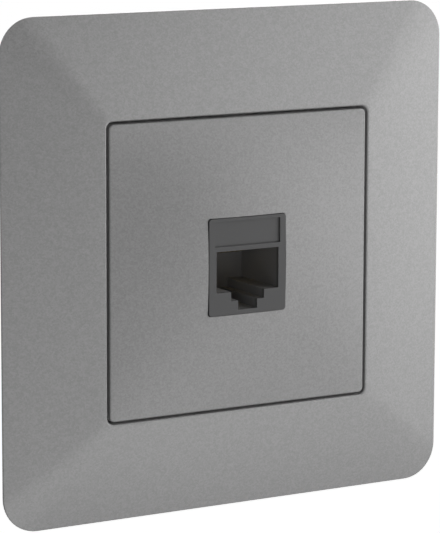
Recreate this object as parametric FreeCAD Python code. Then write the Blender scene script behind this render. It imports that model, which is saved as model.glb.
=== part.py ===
import FreeCAD, Part

import math
import os

from FreeCAD import Vector

# Ethernet wall socket for a round flush box, in millimetres.
# +Z is up, the front faces -Y and the wall is the plane y = 0.
# The origin is the middle of the box screws' pattern on that plane.
# A depth is a distance along Y, so a smaller y is nearer to the person in front.

# Cover frame: outer rim, convex face, lip round the opening, and hollow back
FRAME_SIDE = 83.0
FRAME_CORNER = 6.0
RIM_Y = -2.0
RIM_UNDERCUT = 1.7
FACE_RISE = 3.85
FACE_BULGE = 0.4
OPENING_SIDE = 49.2
OPENING_CORNER = 1.2
LIP_CHAMFER = 0.3
LEDGE_WIDTH = 2.0
LEDGE_Y = -2.6
FRAME_WALL = 1.85
FRAME_SKIN = 2.1
RIM_SKIN = 0.7
BACK_LAND = 1.9
FOOT_Y = -1.2
HEAD_ROOM = 0.7
HEAD_NOTCH_Y = -3.4

# Centre plate: pillow, skirt, jack window and snap legs
PLATE_SIDE = 48.4
PLATE_CORNER = 0.9
PLATE_DOME = 2.65
PLATE_SKIN = 1.8
CEILING_SIDE = 24.0
CEILING_SETBACK = 0.3
PLATE_WALL = 1.8
PLATE_CHAMFER = 0.3
WINDOW_GAP = 0.06
LEG_X = 13.0
LEG_Z = 13.5
LEG_WIDTH = 4.0
LEG_THICK = 1.4
HOOK_REACH = 1.2
HOOK_LAND = 0.5
HOOK_LENGTH = 2.4
HOOK_PLAY = 0.05
LEG_ROOM = 0.3

# Jack: body, plug opening from top to bottom, label field, rib, hook and latch
JACK_WIDTH = 14.5
JACK_HEIGHT = 16.0
JACK_CORNER = 0.5
JACK_PROUD = 2.45
JACK_REAR_Y = 5.4
APERTURE_TOP = 5.45
APERTURE_STEPS = ((11.7, 6.75), (6.2, 1.5), (3.55, 1.55))
CAVITY_DEPTH = 12.0
LABEL_WIDTH = 12.3
LABEL_HEIGHT = 4.1
LABEL_MARGIN = 0.55
LABEL_DEPTH = 0.35
RIB_INSET = 1.0
RIB_HEIGHT = 0.8
RIB_THICK = 0.7
CATCH_PLAY = 0.1
CATCH_HEIGHT = 1.5
CATCH_LAND = 0.8
CATCH_LENGTH = 3.0
LATCH_WIDTH = 6.4
LATCH_THICK = 1.0
LATCH_RISE = 1.3
LATCH_LENGTH = 5.2

# Spring contacts and the comb that parts them
WAYS = 8
CONTACT_PITCH = 1.016
CONTACT_WIDTH = 0.45
CONTACT_THICK = 0.3
CONTACT_Z = 3.9
CONTACT_BEND = 0.7
BEND_STEPS = 4
CONTACT_SLOPE = 14.0
CONTACT_FREE = 7.8
CONTACT_FRONT_Y = -5.9
COMB_HALF = 4.55
COMB_BELOW = 0.55
COMB_ABOVE = 1.35
COMB_SETBACK = 0.3
GROOVE_PLAY = 0.06
POCKET_ROOM = 0.5

# Circuit board and wire terminals
BOARD_MARGIN = 0.2
BOARD_THICK = 1.0
BLOCK_BASE = 4.0
POST_HEIGHT = 7.0
POST_INNER_X = 1.7
POST_OUTER_X = 7.0
TERMINAL_PITCH = 3.7
WIRE_SLOT = 1.2
SLOT_FLOOR = 1.6
FLARE_DEPTH = 1.5
FLARE_WIDTH = 2.6
BLADE_X = 4.35
BLADE_THICK = 0.4
BLADE_WIDTH = 2.6
BLADE_SEAT = 0.4
BLADE_BELOW_TOP = 1.2
FORK_GAP = 0.36
FORK_DEPTH = 3.6
FORK_MOUTH = 0.7
FORK_TIP = 0.5
CAP_WALL = 0.7
CAP_GAP = 0.15
CAP_DEPTH = 5.2
CAP_EDGE = 0.4
CAP_NOTCH_WIDTH = 1.6
CAP_NOTCH_HEIGHT = 2.6

# Mounting plate and jack carrier
SHEET = 1.0
MOUNT_SIDE = 71.0
MOUNT_CORNER = 7.0
MOUNT_OPENING_WIDTH = 31.0
MOUNT_OPENING_HEIGHT = 36.0
BOX_SCREW_SPACING = 60.0
BOX_SLOT_LENGTH = 5.6
BOX_SLOT_RADIUS = 1.9
FLANGE_WIDTH = 41.0
FLANGE_HEIGHT = 44.0
FLANGE_CORNER = 2.5
FLANGE_THICK = 1.3
CARRIER_WALL = 1.8
CARRIER_REAR_Y = 6.0
RING_THICK = 1.6
RING_AHEAD = 1.3
RING_LIP = 1.0
CATCH_ROOM = 2.2
LATCH_ROOM = 2.8
CLIP_X = 8.0
CLIP_GAP = 0.1

# Spreading claws with their pins and screws
PIVOT_X = 19.5
PIVOT_Y = 5.2
PIN_RADIUS = 1.0
PIN_PLAY = 0.05
PIN_END = 0.5
BARREL_RADIUS = 1.8
CLAW_HALF = 4.6
CLAW_SHEET = 1.4
CLAW_REACH = 17.3
CLAW_FOOT = 4.1
TONGUE_END_X = 27.6
TONGUE_CORNER = 1.5
TONGUE_SLOT_X = (22.2, 26.8)
TONGUE_SLOT_WIDTH = 3.5
PRONG_GAP = 4.4
PRONG_START = 2.6
TOOTH_WIDTH = 1.0
TOOTH_DEPTH = 1.1
EAR_INNER = 4.8
EAR_HALF = 2.2
EAR_ROOM = 0.2
EAR_CHAMFER = 1.2
SCREW_X = 24.0
SCREW_RADIUS = 1.5
SCREW_ROOM = 0.25
SCREW_HEAD = 2.5
SCREW_HEAD_HEIGHT = 1.8
SCREW_HEAD_CHAMFER = 0.7
SCREW_LENGTH = 17.0
CROSS_LENGTH = 3.0
CROSS_WIDTH = 0.64
CROSS_DEPTH = 1.1

# Levels that follow from the sizes above
LIP_Y = RIM_Y - FACE_RISE
JACK_Y = LIP_Y - JACK_PROUD
FLANGE_Y = -SHEET - FLANGE_THICK
RING_Y = FLANGE_Y - RING_AHEAD
RING_BACK_Y = RING_Y + RING_THICK
BLOCK_Y = JACK_REAR_Y + BOARD_THICK
POST_Y = BLOCK_Y + BLOCK_BASE
POST_TOP_Y = POST_Y + POST_HEIGHT
CAVITY_TOP = JACK_HEIGHT / 2 - APERTURE_TOP

# FAR lies outside everything, OVERLAP is how deep fused pieces reach into each other
FAR = 60.0
OVERLAP = 0.1
CLOSE = 0.01


def box(x0, x1, y0, y1, z0, z1):
    """A block between two corners."""
    return Part.makeBox(x1 - x0, y1 - y0, z1 - z0, Vector(x0, y0, z0))


def rounded_wire(width, height, corner, y):
    """A rectangle with round corners in the plane at y, always started at the same point."""
    w = width / 2 - corner
    h = height / 2 - corner
    edges = []
    for quarter, (cx, cz) in enumerate(((w, h), (-w, h), (-w, -h), (w, -h))):
        centre = Vector(cx, y, cz)
        start = math.radians(90 * quarter)
        points = [
            centre + Vector(corner * math.cos(start + turn), 0, corner * math.sin(start + turn))
            for turn in (0, math.pi / 4, math.pi / 2)
        ]
        if edges:
            edges.append(Part.makeLine(edges[-1].Vertexes[-1].Point, points[0]))
        edges.append(Part.Arc(*points).toShape())
    edges.append(Part.makeLine(edges[-1].Vertexes[-1].Point, edges[0].Vertexes[0].Point))
    return Part.Wire(edges)


def rounded_block(width, height, corner, y0, y1):
    """A rounded rectangle pushed along Y."""
    outline = Part.Face(rounded_wire(width, height, corner, y0))
    return outline.extrude(Vector(0, y1 - y0, 0))


def polygon_along_x(points, x0, x1):
    """A closed outline of (y, z) points pushed along X."""
    wire = Part.makePolygon([Vector(x0, y, z) for y, z in points + points[:1]])
    return Part.Face(wire).extrude(Vector(x1 - x0, 0, 0))


def polygon_along_y(points, y0, y1):
    """A closed outline of (x, z) points pushed along Y."""
    wire = Part.makePolygon([Vector(x, y0, z) for x, z in points + points[:1]])
    return Part.Face(wire).extrude(Vector(0, y1 - y0, 0))


def polygon_along_z(points, z0, z1):
    """A closed outline of (x, y) points pushed along Z."""
    wire = Part.makePolygon([Vector(x, y, z0) for x, y in points + points[:1]])
    return Part.Face(wire).extrude(Vector(0, 0, z1 - z0))


def pyramid(low_side, low_y, high_side, high_y):
    """A square block along Y with sloping sides, centred on the axis."""
    low = low_side / 2
    high = high_side / 2
    return Part.makeWedge(-low, low_y, -low, -high, -high, low, high_y, low, high, high)


def rod_along_y(radius, x, z, y0, y1):
    """A round bar along Y."""
    return Part.makeCylinder(radius, y1 - y0, Vector(x, y0, z), Vector(0, 1, 0))


def rod_along_z(radius, x, y, z0, z1):
    """A round bar along Z."""
    return Part.makeCylinder(radius, z1 - z0, Vector(x, y, z0))


def slot_along_y(length, radius, angle, x, z):
    """A cutter with round ends, its long axis turned by angle in the plane of the wall."""
    half = length / 2 - radius
    shape = box(-half, half, -FAR, FAR, -radius, radius)
    for end in (-half, half):
        shape = shape.fuse(rod_along_y(radius, end, 0, -FAR, FAR))
    shape = shape.removeSplitter()
    shape.rotate(Vector(0, 0, 0), Vector(0, -1, 0), angle)
    shape.translate(Vector(x, 0, z))
    return shape


def mirrored(shape, normal=Vector(1, 0, 0)):
    """The same piece on the other side, left for right unless a normal says otherwise."""
    return shape.mirror(Vector(0, 0, 0), normal)


def edges_at(shape, test):
    """The edges whose ends and middle all pass the test."""
    found = []
    for edge in shape.Edges:
        middle = edge.valueAt((edge.FirstParameter + edge.LastParameter) / 2)
        if all(test(p) for p in [v.Point for v in edge.Vertexes] + [middle]):
            found.append(edge)
    return found


def reach(point):
    """Distance from the axis as the larger of the two cross coordinates."""
    return max(abs(point.x), abs(point.z))


def snap_profile(face, root_y, catch_y):
    """A snap leg as (outward, y) points: its outer face, its root and the edge it catches behind."""
    back = face - LEG_THICK
    tip_y = catch_y + HOOK_LENGTH
    return [
        (back, root_y),
        (back, tip_y),
        (face, tip_y),
        (face + HOOK_REACH, catch_y + HOOK_LAND),
        (face + HOOK_REACH, catch_y),
        (face, catch_y),
        (face, root_y),
    ]


def head_notches():
    """The room for the heads of the claw screws, taken out of the frame and the plate's skirt."""
    half = SCREW_HEAD + HEAD_ROOM
    return Part.makeCompound([
        box(x - half, x + half, HEAD_NOTCH_Y, FAR, -half, half) for x in (-SCREW_X, SCREW_X)
    ])


def frame_section(share):
    """One rounded square of the frame's face, from the rim at 0 to the lip at 1."""
    side = FRAME_SIDE + (OPENING_SIDE - FRAME_SIDE) * share
    corner = FRAME_CORNER + (OPENING_CORNER - FRAME_CORNER) * share
    rise = FACE_RISE * share * (1 + FACE_BULGE * (1 - share))
    return rounded_wire(side, side, corner, RIM_Y - rise)


def cover_frame():
    """Convex moulded frame: lofted face, undercut rim, hollow back and a ledge for the plate."""
    past_lip = 1.04
    face = Part.makeLoft([frame_section(share) for share in (0, past_lip / 2, past_lip)], True, False)
    rim = rounded_block(FRAME_SIDE, FRAME_SIDE, FRAME_CORNER, RIM_Y, 0)
    rim = rim.makeChamfer(RIM_UNDERCUT, edges_at(rim, lambda p: p.y > -CLOSE))
    shell = face.fuse(rim).removeSplitter()
    shell = shell.cut(rounded_block(OPENING_SIDE, OPENING_SIDE, OPENING_CORNER, -FAR, LEDGE_Y))
    opening_edge = OPENING_SIDE / 2 + CLOSE
    lip = edges_at(shell, lambda p: p.y < LIP_Y + LIP_CHAMFER and reach(p) < opening_edge)
    shell = shell.makeChamfer(LIP_CHAMFER, lip)
    ledge_side = OPENING_SIDE - 2 * LEDGE_WIDTH
    shell = shell.cut(rounded_block(ledge_side, ledge_side, OPENING_CORNER, -FAR, FAR))

    tube_side = OPENING_SIDE + 2 * FRAME_WALL
    tube_corner = OPENING_CORNER + FRAME_WALL
    hollow_side = FRAME_SIDE - 2 * RIM_UNDERCUT - 2 * BACK_LAND
    floor_y = RIM_Y + RIM_SKIN
    hollow = pyramid(tube_side, LIP_Y + FRAME_SKIN, hollow_side, floor_y)
    hollow = hollow.fuse(pyramid(hollow_side, floor_y, hollow_side, FAR))
    hollow = hollow.cut(rounded_block(tube_side, tube_side, tube_corner, -FAR, FOOT_Y))
    return shell.cut(hollow).cut(head_notches())


def dome(setback):
    """The plate's pillow: it falls to zero along straight edges, and runs back behind them."""
    half = PLATE_SIDE / 2
    span = half + PLATE_SKIN
    end = 1 - (span / half) ** 2
    shares = (end, 2 - end, end)
    surface = Part.BezierSurface()
    surface.increase(2, 2)
    for i, x in enumerate((-span, 0, span)):
        for j, z in enumerate((-span, 0, span)):
            height = PLATE_DOME * shares[i] * shares[j]
            surface.setPole(i + 1, j + 1, Vector(x, LIP_Y - height + setback, z))
    return surface.toShape().extrude(Vector(0, FAR, 0))


def centre_plate():
    """Pillow-shaped plate with a skirt, a window for the jack and four snap legs."""
    plate = rounded_block(PLATE_SIDE, PLATE_SIDE, PLATE_CORNER, -FAR, LEDGE_Y).common(dome(0))
    border = PLATE_SIDE / 2 - PLATE_CHAMFER
    front_edge = edges_at(plate, lambda p: p.y < LIP_Y + PLATE_CHAMFER and reach(p) > border)
    plate = plate.makeChamfer(PLATE_CHAMFER, front_edge)
    inner_side = PLATE_SIDE - 2 * PLATE_WALL
    ceiling_y = LIP_Y + CEILING_SETBACK
    eaves_y = LIP_Y + PLATE_SKIN
    plate = plate.cut(pyramid(CEILING_SIDE, ceiling_y, inner_side, eaves_y))
    plate = plate.cut(pyramid(inner_side, eaves_y, inner_side, FAR))
    window_width = JACK_WIDTH + 2 * WINDOW_GAP
    window_height = JACK_HEIGHT + 2 * WINDOW_GAP
    plate = plate.cut(rounded_block(window_width, window_height, JACK_CORNER, -FAR, FAR))
    plate = plate.cut(head_notches())
    profile = snap_profile(LEG_X, LIP_Y - PLATE_DOME, HOOK_PLAY - SHEET)
    for z in (-LEG_Z, LEG_Z):
        leg = polygon_along_z(profile, z - LEG_WIDTH / 2, z + LEG_WIDTH / 2)
        leg = leg.common(dome(PLATE_SKIN / 2))
        plate = plate.fuse([leg, mirrored(leg)])
    return plate.removeSplitter()


def aperture_outline():
    """The stepped plug opening as (x, z) corners: the widest step on top, the key slot below."""
    right = []
    level = CAVITY_TOP
    for width, height in APERTURE_STEPS:
        right += [(width / 2, level), (width / 2, level - height)]
        level -= height
    return right + [(-x, z) for x, z in reversed(right)]


def jack_housing():
    """Jack body with label field, stepped plug cavity, pocket for the contacts, hook and latch."""
    w = JACK_WIDTH / 2 - RIB_INSET
    h = JACK_HEIGHT / 2
    body = rounded_block(JACK_WIDTH, JACK_HEIGHT, JACK_CORNER, JACK_Y, JACK_REAR_Y)
    label_top = h - LABEL_MARGIN
    body = body.cut(box(
        -LABEL_WIDTH / 2, LABEL_WIDTH / 2, -FAR, JACK_Y + LABEL_DEPTH,
        label_top - LABEL_HEIGHT, label_top))
    body = body.cut(polygon_along_y(aperture_outline(), -FAR, JACK_Y + CAVITY_DEPTH))
    pocket_front = CONTACT_FRONT_Y - CONTACT_BEND - POCKET_ROOM
    body = body.cut(box(
        -COMB_HALF, COMB_HALF, pocket_front, FAR, CAVITY_TOP - POCKET_ROOM, CONTACT_Z + COMB_ABOVE))

    rib_back = RING_Y - CATCH_PLAY / 2
    for z in (-h - RIB_HEIGHT, h - OVERLAP):
        body = body.fuse(box(-w, w, rib_back - RIB_THICK, rib_back, z, z + RIB_HEIGHT + OVERLAP))
    catch = RING_BACK_Y + CATCH_PLAY
    hook = polygon_along_x([
        (catch, OVERLAP - h),
        (catch, -h - CATCH_HEIGHT),
        (catch + CATCH_LAND, -h - CATCH_HEIGHT),
        (catch + CATCH_LENGTH, OVERLAP - h),
    ], -w, w)
    tip = catch + LATCH_LENGTH
    latch = polygon_along_x([
        (rib_back, h - OVERLAP),
        (rib_back, h + OVERLAP),
        (catch, h + OVERLAP),
        (catch, h + LATCH_RISE),
        (tip, h + LATCH_RISE + LATCH_THICK),
        (tip, h + LATCH_RISE),
        (catch + 2 * CATCH_LAND, h + LATCH_RISE - LATCH_THICK / 2),
        (catch + CATCH_LAND, h - OVERLAP),
    ], -LATCH_WIDTH / 2, LATCH_WIDTH / 2)
    return body.fuse([hook, latch]).removeSplitter()


def contact_x(way):
    """Sideways place of a contact, counted from the left."""
    return (way - (WAYS - 1) / 2) * CONTACT_PITCH


def contact_comb():
    """Comb above the plug cavity: a bar with one groove for each contact."""
    bar = box(
        -COMB_HALF, COMB_HALF, CONTACT_FRONT_Y + COMB_SETBACK, JACK_REAR_Y,
        CONTACT_Z - COMB_BELOW, CONTACT_Z + COMB_ABOVE)
    half_groove = CONTACT_WIDTH / 2 + GROOVE_PLAY
    groove_top = CONTACT_Z + CONTACT_THICK / 2
    for way in range(WAYS):
        x = contact_x(way)
        bar = bar.cut(box(x - half_groove, x + half_groove, -FAR, FAR, -FAR, groove_top))
    return bar


def contact(way):
    """Spring contact: straight in the comb, bent round at the front, sloping into the cavity."""
    slope = math.radians(CONTACT_SLOPE)

    def bent(radius, share):
        angle = math.pi / 2 + (math.pi - slope) * share
        z = CONTACT_Z - CONTACT_BEND + radius * math.sin(angle)
        return CONTACT_FRONT_Y + radius * math.cos(angle), z

    def side_line(radius):
        bend = [bent(radius, step / BEND_STEPS) for step in range(BEND_STEPS + 1)]
        y, z = bend[-1]
        free_end = (y + CONTACT_FREE * math.cos(slope), z - CONTACT_FREE * math.sin(slope))
        return [(BLOCK_Y, bend[0][1])] + bend + [free_end]

    outline = side_line(CONTACT_BEND + CONTACT_THICK / 2)
    outline += reversed(side_line(CONTACT_BEND - CONTACT_THICK / 2))
    x = contact_x(way)
    return polygon_along_x(outline, x - CONTACT_WIDTH / 2, x + CONTACT_WIDTH / 2)


def terminal_place(way):
    """Side and height of a wire terminal: four down each side."""
    rows = WAYS // 2
    side = 1 if way < rows else -1
    return side, ((rows - 1) / 2 - way % rows) * TERMINAL_PITCH


def blade_tail(way):
    """The square tail that leads a terminal's blade through block and board."""
    side, z = terminal_place(way)
    x = side * BLADE_X
    return box(
        x - BLADE_THICK / 2, x + BLADE_THICK / 2, JACK_REAR_Y, POST_Y + BLADE_SEAT + OVERLAP,
        z - BLADE_THICK, z + BLADE_THICK)


def circuit_board():
    """Board behind the plug cavity, pierced for the contacts and the terminal blades."""
    w = JACK_WIDTH / 2 - BOARD_MARGIN
    h = JACK_HEIGHT / 2 - BOARD_MARGIN
    board = box(-w, w, JACK_REAR_Y, BLOCK_Y, -h, h)
    for way in range(WAYS):
        x = contact_x(way)
        board = board.cut(box(
            x - CONTACT_WIDTH / 2, x + CONTACT_WIDTH / 2, -FAR, FAR,
            CONTACT_Z - CONTACT_THICK / 2, CONTACT_Z + CONTACT_THICK / 2))
        board = board.cut(blade_tail(way))
    return board


def idc_contact(way):
    """Forked blade: a tail through the board and two prongs that pinch the wire."""
    side, z = terminal_place(way)
    x = side * BLADE_X
    w = BLADE_WIDTH / 2
    n = FORK_GAP / 2
    foot = POST_Y + BLADE_SEAT
    top = POST_TOP_Y - BLADE_BELOW_TOP
    half = [
        (foot, w),
        (top - FORK_TIP, w),
        (top, w - FORK_TIP),
        (top - FORK_MOUTH, n),
        (top - FORK_DEPTH, n),
    ]
    outline = [(y, z + s) for y, s in half] + [(y, z - s) for y, s in reversed(half)]
    fork = polygon_along_x(outline, x - BLADE_THICK / 2, x + BLADE_THICK / 2)
    return blade_tail(way).fuse(fork).removeSplitter()


def idc_block():
    """Terminal block: a base and two rows of posts with flared wire slots and blade pockets."""
    w = JACK_WIDTH / 2
    h = JACK_HEIGHT / 2
    block = box(-w, w, BLOCK_Y, POST_Y, -h, h)
    for x in (POST_INNER_X, -POST_OUTER_X):
        row = box(x, x + POST_OUTER_X - POST_INNER_X, POST_Y, POST_TOP_Y, -h, h)
        block = block.fuse(row)
    block = block.removeSplitter()
    half_blade = BLADE_WIDTH / 2
    half_slot = [
        (POST_Y + SLOT_FLOOR, WIRE_SLOT / 2),
        (POST_TOP_Y - FLARE_DEPTH, WIRE_SLOT / 2),
        (POST_TOP_Y + OVERLAP, FLARE_WIDTH / 2),
    ]
    for way in range(WAYS):
        side, z = terminal_place(way)
        slot = [(y, z + s) for y, s in half_slot] + [(y, z - s) for y, s in reversed(half_slot)]
        x0, x1 = sorted((side * OVERLAP, side * FAR))
        block = block.cut(polygon_along_x(slot, x0, x1))
        x0 = side * BLADE_X - BLADE_THICK / 2
        seat = POST_Y + BLADE_SEAT
        block = block.cut(box(x0, x0 + BLADE_THICK, seat, FAR, z - half_blade, z + half_blade))
        block = block.cut(blade_tail(way))
    return block


def dust_cap():
    """Push-on cap over the right-hand row of posts, with a notch for each wire."""
    x0 = POST_INNER_X - CAP_GAP
    x1 = POST_OUTER_X + CAP_GAP
    h = JACK_HEIGHT / 2 + CAP_GAP
    roof = POST_TOP_Y + CAP_GAP
    skirt = roof - CAP_DEPTH
    cap = box(
        x0 - CAP_WALL, x1 + CAP_WALL, skirt, roof + CAP_WALL, -h - CAP_WALL, h + CAP_WALL)
    cap = cap.makeChamfer(CAP_EDGE, edges_at(cap, lambda p: p.y > roof))
    cap = cap.cut(box(x0, x1, -FAR, roof, -h, h))
    n = CAP_NOTCH_WIDTH / 2
    for way in range(WAYS // 2):
        z = terminal_place(way)[1]
        cap = cap.cut(box(x1 - OVERLAP, FAR, -FAR, skirt + CAP_NOTCH_HEIGHT, z - n, z + n))
    return cap


def jack_carrier():
    """Plastic holder: a flange on the mounting plate and a box with the ring that takes the jack."""
    w = JACK_WIDTH / 2 + CATCH_PLAY
    h = JACK_HEIGHT / 2 + CATCH_PLAY
    low = -h - CATCH_ROOM
    high = h + LATCH_ROOM
    carrier = rounded_block(FLANGE_WIDTH, FLANGE_HEIGHT, FLANGE_CORNER, FLANGE_Y, -SHEET)
    carrier = carrier.fuse(box(
        -w - CARRIER_WALL, w + CARRIER_WALL, RING_Y - RING_LIP, CARRIER_REAR_Y,
        low - CARRIER_WALL, high + CARRIER_WALL)).removeSplitter()
    carrier = carrier.cut(box(-w, w, -FAR, RING_Y, -h - RIB_HEIGHT, h + RIB_HEIGHT))
    carrier = carrier.cut(box(-w, w, -FAR, FAR, -h, h))
    carrier = carrier.cut(box(-w, w, RING_BACK_Y, FAR, low, high))
    for z in (-LEG_Z, LEG_Z):
        room = box(
            LEG_X - LEG_THICK - LEG_ROOM, LEG_X + LEG_ROOM, -FAR, FAR,
            z - LEG_WIDTH / 2 - LEG_ROOM, z + LEG_WIDTH / 2 + LEG_ROOM)
        carrier = carrier.cut(room).cut(mirrored(room))
    clip_face = MOUNT_OPENING_HEIGHT / 2 - CLIP_GAP
    profile = [(y, out) for out, y in snap_profile(clip_face, FLANGE_Y + OVERLAP, HOOK_PLAY)]
    for x in (-CLIP_X, CLIP_X):
        clip = polygon_along_x(profile, x - LEG_WIDTH / 2, x + LEG_WIDTH / 2)
        carrier = carrier.fuse([clip, mirrored(clip, Vector(0, 0, 1))])
    return carrier.removeSplitter()


def claw_ear(side, up):
    """One ear of the mounting plate, and the window in the sheet that it was bent out of."""
    pivot = side * PIVOT_X
    root = up * (EAR_INNER + SHEET)
    z0, z1 = sorted((up * EAR_INNER, root))
    end_y = PIVOT_Y + EAR_HALF
    ear = polygon_along_z([
        (pivot - EAR_HALF, -SHEET / 2),
        (pivot - EAR_HALF, end_y - EAR_CHAMFER),
        (pivot - EAR_HALF + EAR_CHAMFER, end_y),
        (pivot + EAR_HALF - EAR_CHAMFER, end_y),
        (pivot + EAR_HALF, end_y - EAR_CHAMFER),
        (pivot + EAR_HALF, -SHEET / 2),
    ], z0, z1)
    z0, z1 = sorted((root, root + up * end_y))
    half = EAR_HALF + EAR_ROOM
    return ear, box(pivot - half, pivot + half, -FAR, FAR, z0, z1)


def mounting_plate():
    """Stamped plate with slots for the box screws and four ears bent back for the claws."""
    plate = rounded_block(MOUNT_SIDE, MOUNT_SIDE, MOUNT_CORNER, -SHEET, 0)
    w = MOUNT_OPENING_WIDTH / 2
    h = MOUNT_OPENING_HEIGHT / 2
    plate = plate.cut(box(-w, w, -FAR, FAR, -h, h))
    half = BOX_SCREW_SPACING / 2
    for angle, x, z in ((0, half, 0), (90, 0, half), (0, -half, 0), (90, 0, -half)):
        plate = plate.cut(slot_along_y(BOX_SLOT_LENGTH, BOX_SLOT_RADIUS, angle, x, z))
    for side in (-1, 1):
        hole = SCREW_RADIUS + SCREW_ROOM
        plate = plate.cut(rod_along_y(hole, side * SCREW_X, 0, -FAR, FAR))
        for up in (-1, 1):
            ear, window = claw_ear(side, up)
            plate = plate.cut(window).fuse(ear)
        plate = plate.cut(rod_along_z(PIN_RADIUS, side * PIVOT_X, PIVOT_Y, -FAR, FAR))
    return plate.removeSplitter()


def claw():
    """Right-hand claw: a barrel on the pin, a tongue for the screw and two toothed prongs."""
    h = CLAW_HALF
    s = CLAW_SHEET / 2
    tip_y = PIVOT_Y + CLAW_REACH
    toe = PIVOT_X + CLAW_FOOT
    barrel = rod_along_z(BARREL_RADIUS, PIVOT_X, PIVOT_Y, -h, h)
    tongue = box(PIVOT_X, TONGUE_END_X, PIVOT_Y - s, PIVOT_Y + s, -h, h)
    corners = edges_at(tongue, lambda p: p.x > TONGUE_END_X - CLOSE and abs(p.z) > h - CLOSE)
    tongue = tongue.makeChamfer(TONGUE_CORNER, corners)
    arm = box(PIVOT_X - s, PIVOT_X + s, PIVOT_Y, tip_y, -h, h)
    foot = box(PIVOT_X - s, toe, tip_y - CLAW_SHEET, tip_y, -h, h)
    shape = barrel.fuse([tongue, arm, foot]).removeSplitter()
    shape = shape.cut(rod_along_z(PIN_RADIUS + PIN_PLAY, PIVOT_X, PIVOT_Y, -FAR, FAR))
    half_slot = TONGUE_SLOT_WIDTH / 2
    shape = shape.cut(box(*TONGUE_SLOT_X, PIVOT_Y - h, PIVOT_Y + h, -half_slot, half_slot))
    half_gap = PRONG_GAP / 2
    prong_y = PIVOT_Y + PRONG_START
    shape = shape.cut(box(-FAR, FAR, prong_y, FAR, -half_gap, half_gap))
    middle = (half_gap + h) / 2
    for z in (-middle, middle):
        notch = [
            (toe + OVERLAP, z - TOOTH_WIDTH / 2),
            (toe + OVERLAP, z + TOOTH_WIDTH / 2),
            (toe - TOOTH_DEPTH, z),
        ]
        shape = shape.cut(polygon_along_y(notch, prong_y, FAR))
    return shape


def claw_pin():
    """Right-hand pin, pressed through both ears."""
    end = EAR_INNER + SHEET + PIN_END
    return rod_along_z(PIN_RADIUS, PIVOT_X, PIVOT_Y, -end, end)


def claw_screw():
    """Right-hand claw screw with a pan head and a cross recess."""
    face_y = -SHEET - SCREW_HEAD_HEIGHT
    head = rod_along_y(SCREW_HEAD, SCREW_X, 0, face_y, -SHEET)
    head = head.makeChamfer(SCREW_HEAD_CHAMFER, edges_at(head, lambda p: p.y < face_y + CLOSE))
    shank = rod_along_y(SCREW_RADIUS, SCREW_X, 0, -SHEET, SCREW_LENGTH - SHEET)
    screw = head.fuse(shank).removeSplitter()
    for x, z in ((CROSS_LENGTH / 2, CROSS_WIDTH / 2), (CROSS_WIDTH / 2, CROSS_LENGTH / 2)):
        screw = screw.cut(box(SCREW_X - x, SCREW_X + x, -FAR, face_y + CROSS_DEPTH, -z, z))
    return screw


def pieces():
    """Every piece by its name."""
    made = {
        "cover_frame": cover_frame(),
        "centre_plate": centre_plate(),
        "jack_housing": jack_housing(),
        "contact_comb": contact_comb(),
        "circuit_board": circuit_board(),
        "idc_block": idc_block(),
        "jack_carrier": jack_carrier(),
        "mounting_plate": mounting_plate(),
    }
    for way in range(WAYS):
        made[f"contact_{way + 1}"] = contact(way)
        made[f"idc_contact_{way + 1}"] = idc_contact(way)
    paired = {
        "dust_cap": dust_cap(),
        "claw": claw(),
        "claw_pin": claw_pin(),
        "claw_screw": claw_screw(),
    }
    for name, shape in paired.items():
        made[f"{name}_right"] = shape
        made[f"{name}_left"] = mirrored(shape)
    return made


os.makedirs("parts", exist_ok=True)
for node, shape in pieces().items():
    shape.exportStep(f"parts/{node}.step")
    state = "valid" if shape.isValid() else "NOT VALID"
    print(node, state, len(shape.Solids), round(shape.Volume, 2))
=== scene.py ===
# %% [markdown]
# # A flush data socket, dressed for the camera
# The solids of the socket arrive as a fixed frame, in metres, with the wall at y = 0 and the
# front facing -Y. Every piece that is made here sits where its solid sits and rides on the same
# body.

# %% Load the fixed frame
import math
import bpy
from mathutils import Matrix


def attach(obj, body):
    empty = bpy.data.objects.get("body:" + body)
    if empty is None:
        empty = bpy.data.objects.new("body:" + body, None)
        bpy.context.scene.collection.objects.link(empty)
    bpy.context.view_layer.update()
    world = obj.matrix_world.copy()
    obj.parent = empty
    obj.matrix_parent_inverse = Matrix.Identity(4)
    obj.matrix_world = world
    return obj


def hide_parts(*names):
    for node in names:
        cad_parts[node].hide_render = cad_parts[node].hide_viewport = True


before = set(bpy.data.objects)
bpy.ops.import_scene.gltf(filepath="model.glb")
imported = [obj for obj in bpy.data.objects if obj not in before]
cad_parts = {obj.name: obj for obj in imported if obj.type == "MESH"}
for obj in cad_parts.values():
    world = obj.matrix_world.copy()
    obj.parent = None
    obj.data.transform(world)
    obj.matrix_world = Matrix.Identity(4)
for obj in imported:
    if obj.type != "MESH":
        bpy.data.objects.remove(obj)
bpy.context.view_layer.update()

from types import SimpleNamespace

import bmesh
import bpy
from mathutils import Matrix, Vector

MM = 0.001
scene = bpy.context.scene

# %% [markdown]
# ## Camera
# The photograph was taken with a long lens from the left and a little above, and its upright lines
# stay nearly upright, as with a lens shifted downwards. A look-at constraint could point the camera,
# but it would hide the roll, so the camera's axes are written down directly. Place, angles and lens
# come from fitting the outlines of frame, plate and jack. The shift is kept small, because it stays
# on in every other view too.

# %% Camera
CAMERA_PLACE = Vector((-234.05, -404.49, 79.29)) * MM
CAMERA_YAW, CAMERA_PITCH, CAMERA_ROLL = (math.radians(a) for a in (30.005, -8.74, 0.151))
CAMERA_LENS, SENSOR_WIDTH, CAMERA_SHIFT = 193.1, 36.0, -0.1
NEAREST_SEEN = 0.01


def link_new(name, data):
    """A new object in the scene."""
    made = bpy.data.objects.new(name, data)
    scene.collection.objects.link(made)
    return made


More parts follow.
